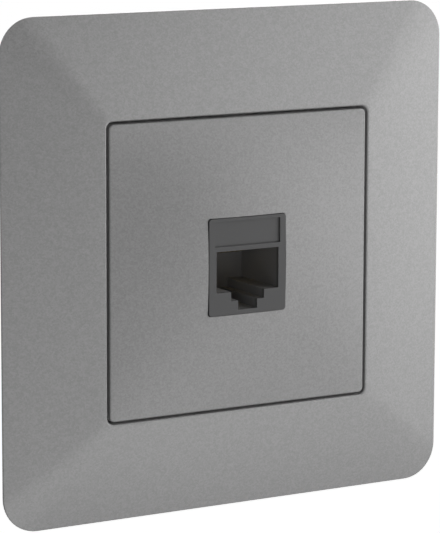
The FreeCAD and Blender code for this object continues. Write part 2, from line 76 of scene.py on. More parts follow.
def camera_axes(yaw, pitch, roll):
    """Right, up and backward as the columns of a matrix."""
    level = math.cos(pitch)
    forward = Vector((math.sin(yaw) * level, math.cos(yaw) * level, math.sin(pitch)))
    right = Vector((math.cos(yaw), -math.sin(yaw), 0))
    upright = Matrix((right, right.cross(forward), -forward)).transposed()
    return upright @ Matrix.Rotation(roll, 3, "Z")


camera_data = bpy.data.cameras.new("photo_camera")
camera_data.lens = CAMERA_LENS
camera_data.sensor_width = SENSOR_WIDTH
camera_data.shift_y = CAMERA_SHIFT
camera_data.clip_start = NEAREST_SEEN
camera = link_new("photo_camera", camera_data)
axes = camera_axes(CAMERA_YAW, CAMERA_PITCH, CAMERA_ROLL).to_4x4()
camera.matrix_world = Matrix.Translation(CAMERA_PLACE) @ axes
scene.camera = camera
print("camera distance", round(CAMERA_PLACE.length, 3))

# %% [markdown]
# ## Node writing
# Shader and geometry trees are nodes and links, and could be wired one link at a time. They are
# easier to read as sums, so `Wire` wraps one socket. Arithmetic on wires adds Math nodes, and `node`
# adds any other node: first its settings, then the values or wires that go into its sockets.

# %% Node writing


def pick(sockets, key):
    """A socket by its number, or the one in use under that name."""
    if isinstance(key, int):
        return sockets[key]
    return next(s for s in sockets if s.enabled and s.name == key)


def both_ways(operation):
    """An operator and its reflected form, each of which adds a Math node."""
    def forwards(self, other):
        return self.math(operation, self, other)

    def reflected(self, other):
        return self.math(operation, other, self)

    return forwards, reflected


class Wire:
    """A socket that takes part in plain arithmetic."""

    def __init__(self, tree, socket=None):
        self.tree = tree
        self.socket = socket

    def node(self, kind, sockets=None, **settings):
        made = self.tree.nodes.new(kind)
        for name, value in settings.items():
            setattr(made, name, value)
        for key, value in (sockets or {}).items():
            target = pick(made.inputs, key)
            if isinstance(value, Wire):
                self.tree.links.new(value.socket, target)
            else:
                target.default_value = value
        first = next((s for s in made.outputs if s.enabled), None)
        return Wire(self.tree, first)

    def out(self, name):
        return Wire(self.tree, pick(self.socket.node.outputs, name))

    def math(self, operation, *values):
        return self.node("ShaderNodeMath", dict(enumerate(values)), operation=operation)

    __add__, __radd__ = both_ways("ADD")
    __sub__, __rsub__ = both_ways("SUBTRACT")
    __mul__, __rmul__ = both_ways("MULTIPLY")
    __truediv__, __rtruediv__ = both_ways("DIVIDE")


print("wires ready")

# %% [markdown]
# ## Light and ground
# The photograph shows soft light from the right and a white ground without a shadow. A far lamp would
# light the face evenly, so a wide one stands close on the right and a little above, and its light
# falls off across the socket. Two fill the shade from in front and below, a weak one beside the
# camera reaches into the plug opening, and two behind the wall plane show the back. The ground lies
# well below the socket, and ground and surroundings are plain white to the camera and in reflections.

# %% White surroundings and ground
AMBIENT = 0.06
GROUND_Z, GROUND_HALF, GROUND_GLOW, GROUND_GREY = -1.0, 6.0, 0.96, 0.8


def cleared(owner):
    """A pen for the emptied node tree of a world or material."""
    owner.use_nodes = True
    owner.node_tree.nodes.clear()
    return Wire(owner.node_tree)


def seen_directly(ink):
    """One for rays that show the background: from the camera, in gloss and through clear pieces."""
    path = ink.node("ShaderNodeLightPath")
    shown = path.out("Is Camera Ray")
    for name in ("Is Glossy Ray", "Is Transmission Ray"):
        shown = ink.math("MAXIMUM", shown, path.out(name))
    return shown


world = bpy.data.worlds.new("white_surroundings")
scene.world = world
ink = cleared(world)
strength = AMBIENT + (1 - AMBIENT) * seen_directly(ink)
sky = ink.node("ShaderNodeBackground", {"Color": (1, 1, 1, 1), "Strength": strength})
ink.node("ShaderNodeOutputWorld", {"Surface": sky})

ground_mesh = bpy.data.meshes.new("ground")
ground_mesh.from_pydata(
    [(x * GROUND_HALF, y * GROUND_HALF, GROUND_Z) for x, y in ((-1, -1), (1, -1), (1, 1), (-1, 1))],
    [], [(0, 1, 2, 3)])
ground = link_new("ground", ground_mesh)
ground_paint = bpy.data.materials.new("ground_white")
ink = cleared(ground_paint)
matt = ink.node("ShaderNodeBsdfDiffuse", {"Color": (GROUND_GREY, GROUND_GREY, GROUND_GREY, 1)})
glow = ink.node("ShaderNodeEmission", {"Strength": GROUND_GLOW * seen_directly(ink)})
both = ink.node("ShaderNodeAddShader", {0: matt, 1: glow})
ink.node("ShaderNodeOutputMaterial", {"Surface": both})
ground.data.materials.append(ground_paint)
print("ground at", GROUND_Z, "ambient", AMBIENT)

# %% Lamps
# Name, azimuth and elevation in degrees, distance and size in metres, power in watts.
LAMPS = (
    ("key_right", 60, 15, 0.22, 0.3, 0.534),
    ("fill_left", -10, -30, 0.6, 0.35, 0.84),
    ("fill_right", 30, -30, 0.6, 0.35, 0.66),
    ("fill_camera", -35, 5, 0.7, 0.3, 0.392),
    ("back_right", 145, 20, 0.6, 0.35, 1.3),
    ("back_left", 215, 20, 0.6, 0.35, 1.3),
)


def soft_lamp(name, azimuth, elevation, distance, size, power):
    """A round area lamp that faces the socket; azimuth counts to the right of its front."""
    data = bpy.data.lights.new(name, "AREA")
    data.shape = "DISK"
    data.size = size
    data.energy = power
    lamp = link_new(name, data)
    side, up = math.radians(azimuth), math.radians(elevation)
    away = Vector((math.sin(side) * math.cos(up), -math.cos(side) * math.cos(up), math.sin(up)))
    facing = (-away).to_track_quat("-Z", "Y").to_matrix().to_4x4()
    lamp.matrix_world = Matrix.Translation(away * distance) @ facing
    lamp.visible_camera = False


for lamp in LAMPS:
    soft_lamp(*lamp)
scene.view_settings.view_transform = "Standard"
print("lamps", ", ".join(lamp[0] for lamp in LAMPS))

# %% [markdown]
# ## Finishes
# Every surface of the socket is painted, moulded or plated. Pictures could be wrapped round the
# pieces, but noise on a piece's own coordinates has no seams and stays on the piece from every side.
# Each finish starts as a bare material with one shader, and these helpers write what varies.

# %% Bare finish and grain


def new_finish(name, dress):
    """A material whose shader sockets come from dress(ink)."""
    material = bpy.data.materials.new(name)
    ink = cleared(material)
    shader = ink.node("ShaderNodeBsdfPrincipled", dress(ink))
    ink.node("ShaderNodeOutputMaterial", {"Surface": shader})
    print("finish", name, "nodes", len(material.node_tree.nodes))
    return material


def object_place(ink):
    return ink.node("ShaderNodeTexCoord").out("Object")


def parted(ink, vector):
    return ink.node("ShaderNodeSeparateXYZ", {"Vector": vector})


def grain(ink, scale, detail=2.0, rough=0.5):
    """Even noise from 0 to 1, about scale lumps per metre."""
    sockets = {"Vector": object_place(ink), "Scale": scale, "Detail": detail, "Roughness": rough}
    return ink.node("ShaderNodeTexNoise", sockets).out("Fac")


def cell_tone(ink, scale):
    """A value from 0 to 1 that each cell has for itself, about scale cells per metre."""
    sockets = {"Vector": object_place(ink), "Scale": scale}
    cells = ink.node("ShaderNodeTexVoronoi", sockets, feature="F1")
    return ink.node("ShaderNodeSeparateColor", {"Color": cells.out("Color")}).out("Red")


def depth_mask(ink, spot, start_mm, blend_mm):
    """Goes from zero to one along Y, that is inwards, from a place on."""
    sockets = {"Value": spot.out("Y"), "From Min": start_mm * MM, "From Max": (start_mm + blend_mm) * MM}
    return ink.node("ShaderNodeMapRange", sockets, interpolation_type="SMOOTHSTEP")


def bumped(ink, height, depth_mm, strength):
    """A normal that rises and falls by depth_mm where height goes from 0 to 1."""
    sockets = {"Height": height, "Distance": depth_mm * MM, "Strength": strength}
    return ink.node("ShaderNodeBump", sockets)


print("grain helpers ready")

# %% Colours that vary


def tinted(colour, factor):
    return tuple(min(1.0, c * factor) for c in colour)


def mixed(ink, factor, dark, light):
    """A colour between two colours."""
    sockets = {"Factor": factor, "A": (*dark, 1), "B": (*light, 1)}
    return ink.node("ShaderNodeMix", sockets, data_type="RGBA").out("Result")


def mottled(ink, tone, colour, dark, light, mask=None, masked=None):
    """A colour that goes from dark to light with the tone, and up to masked where the mask is one."""
    if mask:
        share = (light - dark) / (masked - dark)
        tone, light = tone * share + mask * (1 - share), masked
    return mixed(ink, tone, tinted(colour, dark), tinted(colour, light))


print("colour helpers ready")

# %% [markdown]
# ### Grey metallic paint
# Frame and plate are sprayed with a satin grey lacquer that carries fine metal flakes. Flakes could be
# scattered as tiny mirrors, but from this far they only make the grey uneven. So each flake is a cell
# of a Voronoi texture with a brightness of its own, and a coarser noise stands for the spray's orange
# peel. The frame comes out a little lighter than the plate, as in the photograph. In the narrow groove
# between them a mask paints the grey paler: painted light that lifts the shade in the groove.

# %% Grey metallic paint
FRAME_GREY, PLATE_GREY = (0.217, 0.2165, 0.2165), (0.1868, 0.1863, 0.1863)
FLAKES_PER_METRE, FLAKE_SHARE = 4200.0, 0.6
SPRAY_PER_METRE, SPRAY_DETAIL, PEEL_DEPTH, PEEL_STRENGTH = 900.0, 3.0, 0.004, 0.5
PAINT_METALLIC, PAINT_ROUGH, PAINT_ROUGH_SPREAD = 0.25, 0.4, 0.1
# The last value below is how much paler the groove's walls are painted: painted light in place of the
# shade there.
PAINT_DARK, PAINT_LIGHT, GROOVE_PAINTED_LIGHT = 0.82, 1.18, 2.3
GROOVE_Y, GROOVE_BLEND, GROOVE_HALF = -5.55, 0.5, 24.62


def painted_light_in_groove(ink):
    """Where painted light lifts the groove's shade: one on the walls of the groove, from just behind its
    rounded edges inwards.
    """
    spot = parted(ink, object_place(ink))
    sides = [ink.math("ABSOLUTE", spot.out(axis)) for axis in ("X", "Z")]
    inside = ink.math("LESS_THAN", ink.math("MAXIMUM", *sides), GROOVE_HALF * MM)
    return depth_mask(ink, spot, GROOVE_Y, GROOVE_BLEND) * inside


def flaked_paint(name, grey):
    def dress(ink):
        flake = cell_tone(ink, FLAKES_PER_METRE)
        spray = grain(ink, SPRAY_PER_METRE, SPRAY_DETAIL)
        tone = flake * FLAKE_SHARE + spray * (1 - FLAKE_SHARE)
        # A mask for the painted light on the groove's walls.
        groove_light_mask = painted_light_in_groove(ink)
        return {
            "Base Color": mottled(ink, tone, grey, PAINT_DARK, PAINT_LIGHT, groove_light_mask, GROOVE_PAINTED_LIGHT),
            "Metallic": PAINT_METALLIC,
            "Roughness": PAINT_ROUGH + PAINT_ROUGH_SPREAD * spray,
            "Normal": bumped(ink, spray, PEEL_DEPTH, PEEL_STRENGTH),
        }
    return new_finish(name, dress)


frame_paint = flaked_paint("frame_paint", FRAME_GREY)
plate_paint = flaked_paint("plate_paint", PLATE_GREY)

# %% [markdown]
# ### Moulded plastics
# The jack is a dark grey moulding, its comb nearly black, carrier and terminal block are pale and the
# dust caps are smooth and milky. Each could have a tree of its own, but all come out of steel moulds,
# so they share one recipe: a spark-eroded grain in the surface and a faint mottling of the colour.
# In the jack's plug opening a mask paints the plastic paler: painted light that lifts the shade deep in
# the opening.

# %% Moulded plastics
# The third value below is how much paler the plug opening is painted: painted light in place of its deep
# shade.
MOTTLE_DARK, MOTTLE_LIGHT, OPENING_PAINTED_LIGHT = 0.88, 1.1, 3.1
OPENING_FACE_Y, OPENING_BLEND, OPENING_HALF, OPENING_TOP = -8.25, 0.9, 6.2, 3.0
CLOUDS_PER_METRE, GRAIN_DETAIL, GRAIN_SHARE = 120.0, 3.0, 0.4
GRAIN_ROUGH_SPREAD, GRAIN_STRENGTH = 0.16, 0.6


def painted_light_in_opening(ink):
    """Where painted light lifts the plug opening's shade: one from just behind the face inwards, and
    zero elsewhere on the jack.
    """
    spot = parted(ink, object_place(ink))
    inside = ink.math("LESS_THAN", ink.math("ABSOLUTE", spot.out("X")), OPENING_HALF * MM)
    below = ink.math("LESS_THAN", spot.out("Z"), OPENING_TOP * MM)
    return depth_mask(ink, spot, OPENING_FACE_Y, OPENING_BLEND) * inside * below


def moulded(name, colour, roughness, grains, depth_mm, gloss=None, paler=None):
    """A plastic with so many grains per metre; gloss and the painted light in the plug opening are for
    the jack alone.
    """
    def dress(ink):
        fine = grain(ink, grains, GRAIN_DETAIL)
        cloud = grain(ink, CLOUDS_PER_METRE)
        tone = fine * GRAIN_SHARE + cloud * (1 - GRAIN_SHARE)
        mask = paler(ink) if paler else None
        sockets = {
            "Base Color": mottled(ink, tone, colour, MOTTLE_DARK, MOTTLE_LIGHT, mask, OPENING_PAINTED_LIGHT),
            "Roughness": roughness - GRAIN_ROUGH_SPREAD / 2 + GRAIN_ROUGH_SPREAD * fine,
            "Normal": bumped(ink, fine, depth_mm, GRAIN_STRENGTH),
        }
        if gloss:
            sockets["Specular IOR Level"] = gloss
        return sockets
    return new_finish(name, dress)


# The jack's plug opening is painted paler: painted light that stands in for light reaching its shaded
# walls.
jack_plastic = moulded(
    "jack_plastic", (0.06, 0.06, 0.061), roughness=0.55, grains=1700.0, depth_mm=0.012, gloss=0.3,
    paler=painted_light_in_opening)
comb_plastic = moulded(
    "comb_plastic", (0.028, 0.028, 0.03), roughness=0.5, grains=1500.0, depth_mm=0.005)
carrier_plastic = moulded(
    "carrier_plastic", (0.72, 0.72, 0.7), roughness=0.5, grains=1300.0, depth_mm=0.006)
block_plastic = moulded(
    "block_plastic", (0.74, 0.73, 0.69), roughness=0.42, grains=1500.0, depth_mm=0.004)
cap_plastic = moulded(
    "cap_plastic", (0.7, 0.73, 0.75), roughness=0.4, grains=1000.0, depth_mm=0.0015)

# %% [markdown]
# ### Plated metals
# The mounting plate is zinc plated sheet with a soft spangle, claws and screws carry a duller and a
# yellower passivation, the plug contacts are gold and the terminal blades tinned. An even metal would
# look like chrome. So cells give the spangle, clouds the uneven plating, and noise stretched along one
# axis the marks of rolling and drawing.

# %% Plated metals
PLATED_DARK, PLATED_LIGHT, SPANGLE_SHARE = 0.8, 1.12, 0.35
PLATING_PER_METRE, PLATING_DETAIL, PLATING_ROUGH, PLATING_ROUGH_SPREAD = 220.0, 4.0, 0.6, 0.14
MARKS_PER_METRE, MARK_DETAIL, MARK_DEPTH, MARK_STRENGTH = (6000.0, 6000.0, 260.0), 2.0, 0.003, 0.4


def rolling_marks(ink):
    """Noise that is drawn out along Z."""
    drawn = ink.node("ShaderNodeMapping", {"Vector": object_place(ink), "Scale": MARKS_PER_METRE})
    sockets = {"Vector": drawn, "Scale": 1.0, "Detail": MARK_DETAIL}
    return ink.node("ShaderNodeTexNoise", sockets).out("Fac")


def plated(name, colour, roughness, spangles, streak):
    """A metal with so many spangles per metre, whose gloss varies with its rolling marks by streak."""
    def dress(ink):
        cloud = grain(ink, PLATING_PER_METRE, PLATING_DETAIL, PLATING_ROUGH)
        marks = rolling_marks(ink)
        tone = cell_tone(ink, spangles) * SPANGLE_SHARE + cloud * (1 - SPANGLE_SHARE)
        uneven = roughness - PLATING_ROUGH_SPREAD / 2 + PLATING_ROUGH_SPREAD * cloud
        return {
            "Base Color": mottled(ink, tone, colour, PLATED_DARK, PLATED_LIGHT),
            "Metallic": 1.0,
            "Roughness": uneven + streak * (marks - 0.5),
            "Normal": bumped(ink, marks, MARK_DEPTH, MARK_STRENGTH),
        }
    return new_finish(name, dress)


zinc_steel = plated("zinc_steel", (0.62, 0.63, 0.645), roughness=0.4, spangles=260.0, streak=0.1)
claw_steel = plated("claw_steel", (0.58, 0.57, 0.53), roughness=0.45, spangles=420.0, streak=0.08)
screw_steel = plated("screw_steel", (0.68, 0.62, 0.47), roughness=0.34, spangles=500.0, streak=0.06)
contact_gold = plated("contact_gold", (0.83, 0.62, 0.25), roughness=0.26, spangles=900.0, streak=0.05)
tinned_bronze = plated("tinned_bronze", (0.66, 0.65, 0.62), roughness=0.36, spangles=700.0, streak=0.08)

# %% [markdown]
# ### Circuit board
# The board is glass cloth and copper under green solder mask. Hardly any of it shows, so its tracks
# are left out, and a fine noise in colour, gloss and height stands for the weave.

# %% Circuit board
MASK_DARK, MASK_LIGHT = (0.016, 0.1, 0.035), (0.035, 0.19, 0.075)
WEAVE_PER_METRE, WEAVE_DETAIL, WEAVE_SHARE, WEAVE_DEPTH, WEAVE_STRENGTH = 2600.0, 1.0, 0.4, 0.004, 0.5
BOARD_CLOUDS, BOARD_ROUGH, BOARD_ROUGH_SPREAD = 300.0, 0.3, 0.1


def solder_mask(ink):
    weave = grain(ink, WEAVE_PER_METRE, WEAVE_DETAIL)
    tone = grain(ink, BOARD_CLOUDS) * (1 - WEAVE_SHARE) + weave * WEAVE_SHARE
    return {
        "Base Color": mixed(ink, tone, MASK_DARK, MASK_LIGHT),
        "Roughness": BOARD_ROUGH + BOARD_ROUGH_SPREAD * weave,
        "Normal": bumped(ink, weave, WEAVE_DEPTH, WEAVE_STRENGTH),
    }


board_green = new_finish("board_green", solder_mask)

# %% [markdown]
# ## From tree to plain mesh
# A finished piece is a plain mesh at the origin. Modifiers could stay on it, but the hand-over takes
# plain meshes.

# %% From tree to plain mesh
MERGE_DISTANCE = 1e-7
NORMAL_WEIGHT = 60
PLAIN_SHARP, SOFT_SHARP, THREAD_SHARP, STRIP_SHARP = 32.0, 40.0, 36.0, 50.0


def meshed(name, bm):
    """A new piece from a bmesh, which is freed."""
    mesh = bpy.data.meshes.new(name)
    bm.to_mesh(mesh)
    bm.free()
    return link_new(name, mesh)


def made_plain(piece):
    """Replaces a piece's mesh by what its modifiers make of it, and drops the modifiers."""
    bpy.context.view_layer.update()
    evaluated = piece.evaluated_get(bpy.context.evaluated_depsgraph_get())
    mesh = bpy.data.meshes.new_from_object(evaluated)
    piece.modifiers.clear()
    old = piece.data
    piece.data = mesh
    mesh.name = piece.name
    bpy.data.meshes.remove(old)
    return piece


def closed_outwards(piece):
    """Merges doubles and points every face out of the closed shell; gives back the open edges."""
    bm = bmesh.new()
    bm.from_mesh(piece.data)
    bmesh.ops.remove_doubles(bm, verts=bm.verts, dist=MERGE_DISTANCE)
    bmesh.ops.recalc_face_normals(bm, faces=bm.faces)
    loose = sum(1 for e in bm.edges if not e.is_manifold)
    bm.to_mesh(piece.data)
    bm.free()
    return loose


def settle(piece, body, material, nodes, sharp=PLAIN_SHARP):
    loose = closed_outwards(piece)
    faces = len(piece.data.polygons)
    piece.data.materials.clear()
    piece.data.materials.append(material)
    piece.data.polygons.foreach_set("use_smooth", [True] * faces)
    piece.data.polygons.foreach_set("material_index", [0] * faces)
    piece.data.set_sharp_from_angle(angle=math.radians(sharp))
    even = piece.modifiers.new("even_normals", "WEIGHTED_NORMAL")
    even.weight = NORMAL_WEIGHT
    even.keep_sharp = True
    made_plain(piece)
    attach(piece, body)
    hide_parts(*nodes)
    print(piece.name, "faces", faces, "open edges", loose, "for", ", ".join(nodes))


print("doubles merge within", MERGE_DISTANCE, "m")

# %% [markdown]
# ## A section carried round a square
# Frame and plate are both one section carried round a square with round corners, and the corner's
# radius changes along the section: wide at the frame's rim, tight at its opening. A plain sweep
# can't do that. So the tree sweeps any section once, only to get the faces, and then places each
# point by a rule: the rail says which side or corner it belongs to, the section says how far out,
# how deep and how round. The plate's pillow is one more term of the same rule.

# %% Helpers for geometry trees


def new_tree(name, **inputs):
    """An empty geometry tree with named inputs; gives back the tree, its pen and its inputs' wires."""
    tree = bpy.data.node_groups.new(name, "GeometryNodeTree")
    for key, kind in inputs.items():
        tree.interface.new_socket(key, in_out="INPUT", socket_type=f"NodeSocket{kind}")
    tree.interface.new_socket("piece", in_out="OUTPUT", socket_type="NodeSocketGeometry")
    ink = Wire(tree)
    start = ink.node("NodeGroupInput")
    return tree, ink, SimpleNamespace(**{key: start.out(key) for key in inputs})


def finished(ink, shape, finish):
    """Ends a tree: real geometry with its finish."""
    real = ink.node("GeometryNodeRealizeInstances", {"Geometry": shape})
    dressed = ink.node("GeometryNodeSetMaterial", {"Geometry": real, "Material": finish})
    ink.node("NodeGroupOutput", {"piece": dressed})


def stored(ink, shape, name, kind, value):
    """Keeps a value on the points of a shape under a name."""
    sockets = {"Geometry": shape, "Name": name, "Value": value}
    return ink.node("GeometryNodeStoreNamedAttribute", sockets, data_type=kind, domain="POINT")


def named(ink, name, kind="FLOAT"):
    return ink.node("GeometryNodeInputNamedAttribute", {"Name": name}, data_type=kind)


def placed(ink, shape, x, y, z):
    """Moves every point of a shape to the place that the rule gives."""
    spot = ink.node("ShaderNodeCombineXYZ", {"X": x, "Y": y, "Z": z})
    return ink.node("GeometryNodeSetPosition", {"Geometry": shape, "Position": spot})


def run_tree(piece, tree, **values):
    """Runs a tree on a piece with named inputs and keeps the result as a plain mesh."""
    modifier = piece.modifiers.new(tree.name, "NODES")
    modifier.node_group = tree
    for item in tree.interface.items_tree:
        if item.in_out == "INPUT" and item.name in values:
            modifier[item.identifier] = values[item.name]
    return made_plain(piece)


print("tree helpers ready")

# %% Rule of the carried section
RAIL_UNIT = 1.0
SAME_INDEX = 0.1


def rectangle(ink, width, height, corner_steps, radius):
    """A rectangle with arcs for corners."""
    line = ink.node("GeometryNodeCurvePrimitiveQuadrilateral", {"Width": width, "Height": height})
    sockets = {"Curve": line, "Count": corner_steps, "Radius": radius}
    return ink.node("GeometryNodeFilletCurve", sockets, mode="POLY")


def square_rail(ink, corner_steps, run_steps):
    """A square four units wide whose corners are arcs of one unit, with steps on arcs and runs."""
    square = rectangle(ink, 4 * RAIL_UNIT, 4 * RAIL_UNIT, corner_steps, RAIL_UNIT)
    index = ink.node("GeometryNodeInputIndex")
    on_arc = ink.math("MODULO", index, corner_steps + 1.0)
    last_of_arc = ink.math("COMPARE", on_arc, corner_steps, SAME_INDEX)
    cuts = ink.node("FunctionNodeFloatToInt", {0: last_of_arc * run_steps})
    return ink.node("GeometryNodeSubdivideCurve", {"Curve": square, "Cuts": cuts})


def carried_section_tree():
    tree, ink, given = new_tree(
        "carried_section", section="Geometry", corner_steps="Int", run_steps="Int",
        pillow_rise="Float", pillow_half="Float", finish="Material")
    place = ink.node("GeometryNodeInputPosition")
    rail = square_rail(ink, given.corner_steps, given.run_steps)
    rail = stored(ink, rail, "rail", "FLOAT_VECTOR", place)
    section = ink.node("GeometryNodeMeshToCurve", {"Mesh": given.section})
    section = stored(ink, section, "level", "FLOAT", parted(ink, place).out("Y"))
    swept = ink.node("GeometryNodeCurveToMesh", {"Curve": rail, "Profile Curve": section})

    along = parted(ink, named(ink, "rail", "FLOAT_VECTOR"))
    rounding = named(ink, "round")
    cross = []
    shares = []
    for axis, half in (("X", "half_x"), ("Y", "half_z")):
        value = along.out(axis)
        inner = ink.node("ShaderNodeClamp", {"Value": value, "Min": -RAIL_UNIT, "Max": RAIL_UNIT})
        spot = inner * (named(ink, half) - rounding) + (value - inner) * rounding
        share = spot / given.pillow_half
        cross.append(spot)
        shares.append(1 - share * share)
    lift = named(ink, "pillow") * given.pillow_rise * shares[0] * shares[1]
    shape = placed(ink, swept, cross[0], named(ink, "level") - lift, cross[1])
    finished(ink, shape, given.finish)
    return tree


carried_section = carried_section_tree()
print("tree", carried_section.name, "nodes", len(carried_section.nodes))

# %% [markdown]
# ## Rounded section lines
# A section is a closed line of corners, as on a toolmaker's drawing. Each corner holds the distance
# outwards, the level, and whatever else the rule needs at that point. A bevel on the finished piece
# would give every edge the same radius. Here each corner has its own, and an arc takes its place.

# %% Rounded section lines
ARC_STEPS = 5


def corner_arc(before, here, after, radius):
    """Points of an arc that rounds a corner; the values after the first two are blended."""
    flat = [Vector(v[:2]) for v in (before, here, after)]
    to_before = flat[0] - flat[1]
    to_after = flat[2] - flat[1]
    half = to_before.angle(to_after) / 2
    cut = radius / math.tan(half)
    inwards = (to_before.normalized() + to_after.normalized()).normalized()
    middle = flat[1] + inwards * (radius / math.sin(half))
    first = flat[1] + to_before.normalized() * cut - middle
    last = flat[1] + to_after.normalized() * cut - middle
    turn = math.atan2(first.x * last.y - first.y * last.x, first.dot(last))
    shares = (-cut / to_before.length, cut / to_after.length)
    points = []
    for step in range(ARC_STEPS + 1):
        share = step / ARC_STEPS
        spot = middle + Matrix.Rotation(turn * share, 2) @ first
        lean = shares[0] + (shares[1] - shares[0]) * share
        other = after if lean > 0 else before
        rest = [h + (o - h) * abs(lean) for h, o in zip(here[2:], other[2:])]
        points.append((spot.x, spot.y, *rest))
    return points


def section_line(corners):
    """A closed line of points from (values, radius) corners."""
    points = []
    for i, (values, radius) in enumerate(corners):
        if radius:
            after = corners[(i + 1) % len(corners)][0]
            points += corner_arc(corners[i - 1][0], values, after, radius)
        else:
            points.append(values)
    return points


def line_piece(name, points, closed, columns):
    """An object whose mesh is a line through points in millimetres, with named values on them."""
    mesh = bpy.data.meshes.new(name)
    edges = [(i, i + 1) for i in range(len(points) - 1)]
    if closed:
        edges.append((len(points) - 1, 0))
    mesh.from_pydata([(p[0] * MM, p[1] * MM, 0) for p in points], edges, [])
    for key, values in columns.items():
        mesh.attributes.new(key, "FLOAT", "POINT").data.foreach_set("value", values)
    return link_new(name, mesh)


def section_piece(name, corners):
    """The closed section of a piece that is carried round a square."""
    points = section_line(corners)
    return line_piece(name, points, True, {
        "half_x": [p[0] * MM for p in points],
        "half_z": [p[2] * MM for p in points],
        "round": [p[3] * MM for p in points],
        "pillow": [p[4] for p in points],
    })


print("arcs have", ARC_STEPS, "steps")

# %% [markdown]
# ## Cover frame
# The frame is a moulded and painted square. Its face rises from a thin rim to the lip round the
# opening in a shallow curve, and its corners tighten on the way, which gives the soft diagonal
# ridges. Behind the face it is hollow, with a tube and a ledge that the plate presses on. It could be
# built from four sides with mitred corners, but with the rule one section gives it all.

# %% Cover frame section
RIM_HALF, RIM_ROUND, RIM_Y = 41.5, 6.0, -2.0
LIP_HALF, LIP_ROUND, FACE_RISE, FACE_BULGE = 24.6, 1.2, 3.85, 0.4
RIM_LAND, UNDERCUT, BACK_LAND = 0.3, 1.7, 1.9
TUBE_HALF, TUBE_ROUND, FOOT_Y = 26.45, 3.05, -1.2
LEDGE_HALF, LEDGE_Y = 22.6, -2.6
HOLLOW_ROUND, RIM_THICK, LIP_THICK = 0.8, 0.7, 2.1
RIM_EDGE, LIP_EDGE, SEAT_EDGE, FOOT_EDGE, LAND_EDGE = 0.18, 0.3, 0.15, 0.2, 0.1
ROOT_EDGE, HOLLOW_EDGE = 0.5, 0.4
FACE_SHARES = (0.025, 0.06, 0.12, 0.2, 0.3, 0.4, 0.5, 0.6, 0.7, 0.8, 0.88, 0.94, 0.96)
LIP_Y = RIM_Y - FACE_RISE
back_half = RIM_HALF - UNDERCUT
hollow_half = back_half - BACK_LAND


def square_corner(half, level, rounding, radius=0.0):
    return ((half, level, half, rounding, 0.0), radius)


def face_corner(share, radius=0.0):
    """A point of the convex face, from the rim at 0 to the lip at 1."""
    half = RIM_HALF + (LIP_HALF - RIM_HALF) * share
    rise = FACE_RISE * share * (1 + FACE_BULGE * (1 - share))
    return square_corner(half, RIM_Y - rise, RIM_ROUND + (LIP_ROUND - RIM_ROUND) * share, radius)


frame_corners = [face_corner(0, RIM_EDGE)]
frame_corners += [face_corner(share) for share in FACE_SHARES]
frame_corners += [
    face_corner(1, LIP_EDGE),
    square_corner(LIP_HALF, LEDGE_Y, LIP_ROUND, SEAT_EDGE),
    square_corner(LEDGE_HALF, LEDGE_Y, LIP_ROUND, FOOT_EDGE),
    square_corner(LEDGE_HALF, FOOT_Y, LIP_ROUND, FOOT_EDGE),
    square_corner(TUBE_HALF, FOOT_Y, TUBE_ROUND, FOOT_EDGE),
    square_corner(TUBE_HALF, LIP_Y + LIP_THICK, TUBE_ROUND, ROOT_EDGE),
    square_corner(hollow_half, RIM_Y + RIM_THICK, HOLLOW_ROUND, HOLLOW_EDGE),
    square_corner(hollow_half, 0, HOLLOW_ROUND, SEAT_EDGE),
    square_corner(back_half, 0, RIM_ROUND - UNDERCUT, FOOT_EDGE),
    square_corner(RIM_HALF, RIM_Y + RIM_LAND, RIM_ROUND, LAND_EDGE),
]
cover_frame = section_piece("cover_frame_painted", frame_corners)
print("frame section points", len(cover_frame.data.vertices))

# %% [markdown]
# ### Room for the screw heads
# Behind frame and plate, two square notches leave room for the heads of the claw screws. They don't
# follow the section, so plain boxes are cut out of the carried frame, and later out of the plate.

# %% Cover frame carried round and notched
SCREW_X = 24.0
NOTCH_HALF, NOTCH_Y, NOTCH_BACK_Y = 3.2, -3.4, 5.0
RUN_STEPS, FRAME_CORNER_STEPS = 27, 12


def combined(piece, other, operation):
    """Adds another solid to a piece or takes it away, and removes the other."""
    modifier = piece.modifiers.new("combined", "BOOLEAN")
    modifier.operation = operation
    modifier.solver = "EXACT"
    modifier.object = other
    made_plain(piece)
    mesh = other.data
    bpy.data.objects.remove(other)
    bpy.data.meshes.remove(mesh)


def block_piece(name, blocks):
    """Plain boxes in one mesh, from (x0, x1, y0, y1, z0, z1) in millimetres."""
    bm = bmesh.new()
    for x0, x1, y0, y1, z0, z1 in blocks:
        middle = Vector((x0 + x1, y0 + y1, z0 + z1)) * (MM / 2)
        size = Matrix.Diagonal(((x1 - x0) * MM, (y1 - y0) * MM, (z1 - z0) * MM, 1))
        bmesh.ops.create_cube(bm, size=1.0, matrix=Matrix.Translation(middle) @ size)
    return meshed(name, bm)


def head_room(name):
    """The two notches behind frame and plate for the heads of the claw screws."""
    return block_piece(name, [
        (x - NOTCH_HALF, x + NOTCH_HALF, NOTCH_Y, NOTCH_BACK_Y, -NOTCH_HALF, NOTCH_HALF)
        for x in (-SCREW_X, SCREW_X)])


run_tree(
    cover_frame, carried_section, corner_steps=FRAME_CORNER_STEPS, run_steps=RUN_STEPS, pillow_rise=0.0,
    pillow_half=1.0, finish=frame_paint)
closed_outwards(cover_frame)
combined(cover_frame, head_room("frame_notches"), "DIFFERENCE")
settle(cover_frame, "socket", frame_paint, ["cover_frame"])

# %% [markdown]
# ## Centre plate
# The plate is a pillow: highest in the middle and level along all four edges. It has a window for
# the jack, a skirt that reaches down to the frame's ledge and a rounded front edge. A sheet could be
# blown up by a simulation, but its edges would not stay level. So its section runs from the window to
# the edge, and the rule's pillow term lifts it.

